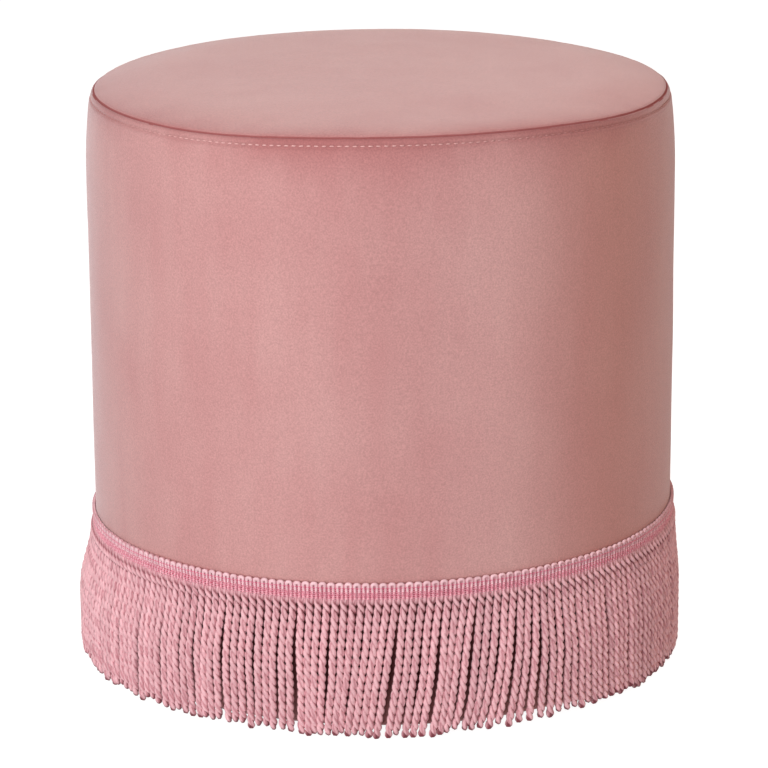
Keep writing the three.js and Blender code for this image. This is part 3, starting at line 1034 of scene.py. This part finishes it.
def shareAlong(tree):
    return addNode(tree, "GeometryNodeSplineParameter").outputs["Factor"]


# Copies of one fine curve, one for each number, with that number and the share of the way along
def numberedCurves(tree, given):
    spots = through("GeometryNodePoints", {"Count": given["count"]})
    order = addNode(tree, "GeometryNodeInputIndex").outputs[0]
    numbered = storeValue(spots, "number", plus(order, given["first"]))
    line = addNode(tree, "GeometryNodeCurvePrimitiveLine").outputs[0]
    fine = through("GeometryNodeResampleCurve", {"Curve": line, "Count": given["points"]})
    copies = through("GeometryNodeInstanceOnPoints", {"Points": numbered, "Instance": fine})
    curves = through("GeometryNodeRealizeInstances", {0: copies})
    return curves, readValue(tree, "number"), shareAlong(tree)


def finished(geometry, material):
    smooth = through("GeometryNodeSetShadeSmooth", {0: geometry, 2: True})
    return through("GeometryNodeSetMaterial", {"Geometry": smooth, "Material": material})


# A tube along each curve, whose round section carries its own angle to the mesh
def swept(curves, radius, sides, material):
    section = through("GeometryNodeCurvePrimitiveCircle", {"Resolution": sides, "Radius": 1.0})
    angle = times(shareAlong(sides.id_data), fullTurn)
    spoke = vector(calc("COSINE", angle), calc("SINE", angle), 0.0)
    section = storeValue(section, "around", spoke, "FLOAT_VECTOR")
    inputs = {"Curve": curves, "Profile Curve": section, "Scale": radius, "Fill Caps": True}
    return finished(through("GeometryNodeCurveToMesh", inputs), material)


fringePlan = {
    "count": 56,
    "first": 0,
    "braidMiddle": 0.2014,
    "plyRadius": 0.00174,
    "plyMiddle": 0.00102,
    "twistStart": 0.0022,
    "legSpread": 0.0014,
    "lobes": 16,
    "lobeVariety": 0.012,
    "swing": 0.0062,
    "swingLeft": 0.45,
    "endShort": 0.45,
    "endLong": 0.28,
    "drift": 0.0135,
    "lean": 0.015,
    "leanAngle": -1.36,
    "leanWidth": 0.5,
    "bunch": 4.3,
    "tightness": 0.11,
    "jitter": 0.0006,
    "layering": 0.0007,
    "points": 164,
    "sides": 7,
}
cordAngle = fullTurn / 4 / fringePlan["count"]
quarters = {"Front": -84, "Right": -28, "Back": 28, "Left": 84}


# How far down a cord's yarn is, from 0 at the braid to 1 at the end, and in metres; how long the
# cord hangs; and how long one lobe of its twist is
def cordFall(given, number, share):
    fromEnd = calc("ABSOLUTE", timesPlus(share, 2.0, -1.0))
    down = minus(1.0, calc("POWER", fromEnd, 1.22))
    variety = times(given["lobeVariety"], chance(number, 12, -1.0, 1.0))
    lobe = times(given["lobe"], plus(1.0, variety))
    shorter = times(given["endShort"], -1.0)
    lobes = plus(given["lobes"], chance(number, 18, shorter, given["endLong"]))
    hang = timesPlus(lobes, lobe, given["twistStart"])
    return down, times(down, hang), hang, lobe


# The angle of the twist and the ply's distance from the cord's middle. The left leg crosses in
# front of the right one first, and the plies close round the end.
def cordTwist(given, share, depth, hang, lobe):
    rightLeg = calc("GREATER_THAN", share, 0.5)
    twisted = calc("MAXIMUM", minus(depth, given["twistStart"]), 0.0)
    turns = minus(1.0, plus(rightLeg, ratio(twisted, lobe)))
    gather = ease(depth, 0.0014, 0.005, 1.0, 0.0)
    wider = minus(given["legSpread"], given["plyMiddle"])
    apart = timesPlus(gather, wider, given["plyMiddle"])
    toEnd = remap(minus(hang, depth), 0.0, 0.0019, 1.0, 0.0)
    closing = calc("SQRT", minus(1.0, calc("POWER", toEnd, 2.0)))
    return times(turns, math.pi), times(apart, closing)


# How far a cord hangs to the side: neighbours drift together, and lean over at the front
def cordSway(given, number, angle, down):
    spin = vector(calc("COSINE", angle), calc("SINE", angle), times(down, 0.45))
    sway = times(minus(noiseAt(spin, 2.6, 1.0), 0.5), given["drift"])
    fromLean = calc("ABSOLUTE", minus(angle, given["leanAngle"]))
    leaning = ease(fromLean, 0.1, given["leanWidth"], given["lean"], 0.0)
    sway = timesPlus(chance(number, 13, -1.0, 1.0), given["jitter"], minus(sway, leaning))
    aside = times(sway, remap(down, 0.02, 1.0, 0.0, 1.0))
    own = vector(times(number, 5.7), times(down, 2.1), 0.0)
    wander = minus(noiseAt(own, 1.0, 0.0), 0.5)
    return aside, times(wander, remap(down, 0.0, 0.3, 0.0, 0.0018))


# The bunch that a cord belongs to, and its pull to the side
def cordBunch(given, number, down):
    uneven = noiseAt(vector(times(number, 0.37), 0.0, 0.0), 1.0, 0.0)
    spot = ratio(timesPlus(uneven, 5.0, number), given["bunch"])
    bunch = calc("FLOOR", spot)
    inBunch = times(minus(minus(spot, bunch), 0.5), given["bunch"])
    pitch = times(given["cordAngle"], given["braidMiddle"])
    pull = times(chance(bunch, 19, 0.15, 1.0), given["tightness"])
    pull = times(times(inBunch, pitch), pull)
    return bunch, times(pull, ease(down, 0.03, 0.5, 0.0, 1.0))


# How far out a cord hangs: further at the left, and in layers
def cordOut(given, number, bunch, angle, down):
    toLeft = times(calc("COSINE", angle), times(given["swingLeft"], -1.0))
    swing = times(given["swing"], plus(toLeft, 1.0))
    clear = times(swing, ease(down, 0.04, 0.58, 0.0, 1.0))
    layer = plus(chance(number, 14, -0.6, 0.4), chance(bunch, 17, -0.5, 0.4))
    layer = times(layer, given["layering"])
    out = timesPlus(layer, remap(down, 0.05, 0.3, 0.0, 1.0), clear)
    return plus(out, given["braidMiddle"])


# Two-ply cords, each one length of yarn that leaves the braid as two legs, twists on itself and
# turns back at its end
def makeCordTree(plan):
    tree, given = newTree("bullionCords", plan)
    curves, number, share = numberedCurves(tree, given)
    angle = times(plus(number, 0.5), given["cordAngle"])
    down, depth, hang, lobe = cordFall(given, number, share)
    height = minus(given["top"], depth)
    twist, apart = cordTwist(given, share, depth, hang, lobe)
    sway, wobble = cordSway(given, number, angle, down)
    bunch, pull = cordBunch(given, number, down)
    aside = plus(minus(sway, pull), wobble)
    out = cordOut(given, number, bunch, angle, down)
    forward = timesPlus(calc("SINE", twist), apart, out)
    sideways = timesPlus(calc("COSINE", twist), apart, aside)
    bent = moved(curves, roundDrum(angle, forward, sideways, height))
    bent = storeValue(bent, "core", roundDrum(angle, out, aside, height), "FLOAT_VECTOR")
    radius = times(given["plyRadius"], remap(depth, 0.0, 0.0032, 0.74, 1.0))
    marked = markYarn(bent, depth, chance(number, 15, 0.0, 1.0))
    tube = swept(marked, radius, given["sides"], given["yarn"])
    core = readValue(tree, "core", "FLOAT_VECTOR")
    here = addNode(tree, "GeometryNodeInputPosition").outputs[0]
    away = addNode(tree, "ShaderNodeVectorMath", {0: here, 1: core}, operation="DISTANCE").outputs[1]
    return completed(tree, storeValue(tube, "fromCore", away))


def makeCords():
    top = braidBottom + cordTuck
    longest = (fringePlan["lobes"] + fringePlan["endLong"]) * (1 + fringePlan["lobeVariety"])
    lobe = (top - fringeEnd - fringePlan["twistStart"]) / longest
    settled = {"cordAngle": cordAngle, "top": top, "lobe": lobe, "yarn": cordYarn}
    plan = {**fringePlan, **settled}
    tree = makeCordTree(plan)
    for side, first in quarters.items():
        made = growQuarter("fringeCords", side, tree, {**plan, "first": first})
        print("cords", side, len(made.data.polygons))


loopPlan = {
    "count": fringePlan["count"],
    "first": 0,
    "points": 26,
    "sides": 7,
    "ribRadius": 0.001,
    "legSpread": fringePlan["legSpread"],
    "capSwell": 0.32,
    "capRise": 0.0011,
    "yarn": braidYarn,
}


# Loops of yarn side by side: two upright ribs joined by a cap, set between the cords so that each
# cord's legs run up into the ribs of two neighbouring loops
def makeLoopTree():
    tree, given = newTree("braidLoops", loopPlan)
    curves, number, share = numberedCurves(tree, given)
    over = remap(share, 0.3, 0.7, 0.0, math.pi)
    cosine = calc("COSINE", over)
    sine = calc("SINE", over)
    squarer = calc("POWER", calc("ABSOLUTE", cosine), 0.6)
    aside = times(calc("SIGN", cosine), times(squarer, given["legSpread"]))
    aside = times(aside, timesPlus(sine, -0.06, -1.0))
    capRadius = times(given["ribRadius"], plus(given["capSwell"], 1.0))
    capBase = minus(minus(braidTop, capRadius), given["capRise"])
    fromMiddle = calc("ABSOLUTE", minus(share, 0.5))
    upLeg = times(minus(capBase, braidBottom), remap(fromMiddle, 0.2, 0.5, 1.0, 0.0))
    height = plus(braidBottom, plus(upLeg, times(sine, given["capRise"])))
    height = timesPlus(sine, chance(number, 21, -0.00025, 0.00025), height)
    bent = moved(curves, roundDrum(times(number, cordAngle), fringePlan["braidMiddle"], aside, height))
    marked = markYarn(bent, height, chance(number, 22, 0.0, 1.0))
    radius = times(given["ribRadius"], timesPlus(sine, given["capSwell"], 1.0))
    return completed(tree, swept(marked, radius, given["sides"], given["yarn"]))


weftPlan = {
    "count": 6,
    "first": 0,
    "points": 4 * fringePlan["count"] + 1,
    "sides": 5,
    "start": 0.0,
    "ribs": 2.0 * fringePlan["count"],
    "out": fringePlan["braidMiddle"] + 0.00052,
    "ripple": 0.0,
    "lowest": 0.0957,
    "rowPitch": 0.00139,
    "radius": 0.00032,
    "yarn": weftYarn,
}

# The binding is one more row, on top of the others and further out
bindingPlan = {
    **weftPlan,
    "count": 1,
    "out": fringePlan["braidMiddle"] + 0.00088,
    "ripple": 0.00012,
    "lowest": weftPlan["lowest"] + weftPlan["count"] * weftPlan["rowPitch"] + 0.0001,
    "radius": 0.00036,
    "yarn": bindingYarn,
}


# Rows of weft that run round the drum between the ribs and in front of the band behind them
def makeWeftTree():
    tree, given = newTree("braidWeft", weftPlan)
    curves, row, share = numberedCurves(tree, given)
    angle = timesPlus(share, fullTurn / 4, given["start"])
    phase = times(times(share, given["ribs"]), fullTurn)
    out = timesPlus(calc("COSINE", phase), given["ripple"], given["out"])
    height = timesPlus(row, given["rowPitch"], given["lowest"])
    bent = moved(curves, roundDrum(angle, out, 0.0, height))
    marked = markYarn(bent, times(angle, bodyRadius), chance(row, 31, 0.3, 0.9))
    return completed(tree, swept(marked, given["radius"], given["sides"], given["yarn"]))


def makeBraid():
    loopTree = makeLoopTree()
    weftTree = makeWeftTree()
    for side, first in quarters.items():
        start = first * cordAngle
        growQuarter("braidLoops", side, loopTree, {**loopPlan, "first": first})
        growQuarter("braidWeft", side, weftTree, {**weftPlan, "start": start})
        growQuarter("braidBinding", side, weftTree, {**bindingPlan, "start": start})


bandPlan = {"back": 0.2003, "thickness": 0.0007, "overBottom": 0.0002, "underTop": 0.0016}


# The woven band that the ribs lie on
def makeBand():
    low = braidBottom + bandPlan["overBottom"]
    high = braidTop - bandPlan["underTop"]
    back = bandPlan["back"]
    front = back + bandPlan["thickness"]
    outline = [(front, high), (front, (low + high) / 2), (front, low), (back, low), (back, high)]
    setAslant(turnedPiece("braidBand", outline, still, braidWeave, "fringe_front"))


makeCords()
makeBraid()
makeBand()
print("fringe is made")


stitchPlan = {
    "length": 0.0033,
    "width": 0.00043,
    "tilt": 0.07,
    "seed": 41,
    "thread": stitchThread,
}


def makeStitchTree(plan):
    tree, given = newTree("topstitching", plan)
    spots = through("GeometryNodePoints", {"Count": given["stitches"]})
    order = addNode(tree, "GeometryNodeInputIndex").outputs[0]
    angle = times(ratio(order, given["stitches"]), fullTurn)
    spots = moved(spots, roundDrum(angle, given["radius"], 0.0, given["height"]))
    sizes = {"Segments": 6, "Rings": 6, "Radius": 1.0}
    ball = addNode(tree, "GeometryNodeMeshUVSphere", sizes).outputs[0]
    askew = times(given["tilt"], chance(order, given["seed"], -1.0, 1.0))
    inputs = {
        "Points": spots,
        "Instance": ball,
        "Rotation": vector(askew, 0.0, angle),
        "Scale": vector(given["width"], times(given["length"], 0.5), given["width"]),
    }
    copies = through("GeometryNodeInstanceOnPoints", inputs)
    real = through("GeometryNodeRealizeInstances", {0: copies})
    return completed(tree, finished(real, given["thread"]))


def makeStitches():
    height = seamHeight - stitchDrop
    radius = coverRadius(height) - sidePlan["stitchGroove"] + sidePlan["stitchSink"]
    stitches = round(fullTurn * radius / sidePlan["stitchPitch"])
    plan = {**stitchPlan, "stitches": stitches, "radius": radius, "height": height}
    made = grow("topstitching", makeStitchTree(plan), plan)
    share = 1 - rise(stitchDrop, 0.002, 0.07)
    for vertex in made.data.vertices:
        vertex.co.z -= seamSag(math.atan2(vertex.co.y, vertex.co.x)) * share
    asPiece(made)


stapleWire = 0.00045
staplePlan = {
    "count": 64,
    "first": 0,
    "points": 6,
    "sides": 5,
    "radius": 0.1835,
    "width": 0.01,
    "wire": stapleWire,
    "height": dustUnder - stapleWire * 0.6,
    "seed": 51,
    "steel": screwSteel,
}


# A staple lies across the edge of the dust cover, its crown proud of the cloth
def makeStapleTree():
    tree, given = newTree("staples", staplePlan)
    curves, number, share = numberedCurves(tree, given)
    loose = chance(number, given["seed"], -0.25, 0.25)
    angle = times(ratio(plus(number, loose), given["count"]), fullTurn)
    across = times(times(minus(share, 0.5), given["width"]), 1.25)
    limit = times(given["width"], 0.5)
    bounded = calc("MAXIMUM", calc("MINIMUM", across, limit), times(limit, -1.0))
    bent = calc("GREATER_THAN", calc("ABSOLUTE", across), limit)
    height = timesPlus(bent, 0.0014, given["height"])
    out = timesPlus(bounded, chance(number, 52, -0.12, 0.12), given["radius"])
    wire = moved(curves, roundDrum(angle, out, bounded, height))
    return completed(tree, swept(wire, given["wire"], given["sides"], given["steel"]))


dustPlan = {"wave": 0.0003, "waveSize": 0.035, "inset": 0.012, "thickness": 0.0008}


def dustShift(radius, angle, height):
    nearRim = radius / (bodyRadius - dustPlan["inset"])
    pulled = 0.5 + 0.5 * math.cos(angle * staplePlan["count"]) * nearRim ** 6
    wave = 0.5 + flatWaviness(radius, angle, dustPlan["waveSize"])
    return radius, height - dustPlan["wave"] * wave * pulled


# Thin black cloth over the underside
def makeDustCover():
    edge = bodyRadius - dustPlan["inset"]
    low = dustUnder
    high = low + dustPlan["thickness"]
    outline = [(radius, low) for radius in spread(0.0, edge, 46)]
    outline += [(radius, high) for radius in spread(edge, 0.0, 46)]
    made = turnedPiece("dustCover", outline, dustShift, dustCloth, "dust_cover")


makeStitches()
asPiece(grow("dustCoverStaples", makeStapleTree(), staplePlan))
makeDustCover()
print("stitches, staples and dust cover are made")
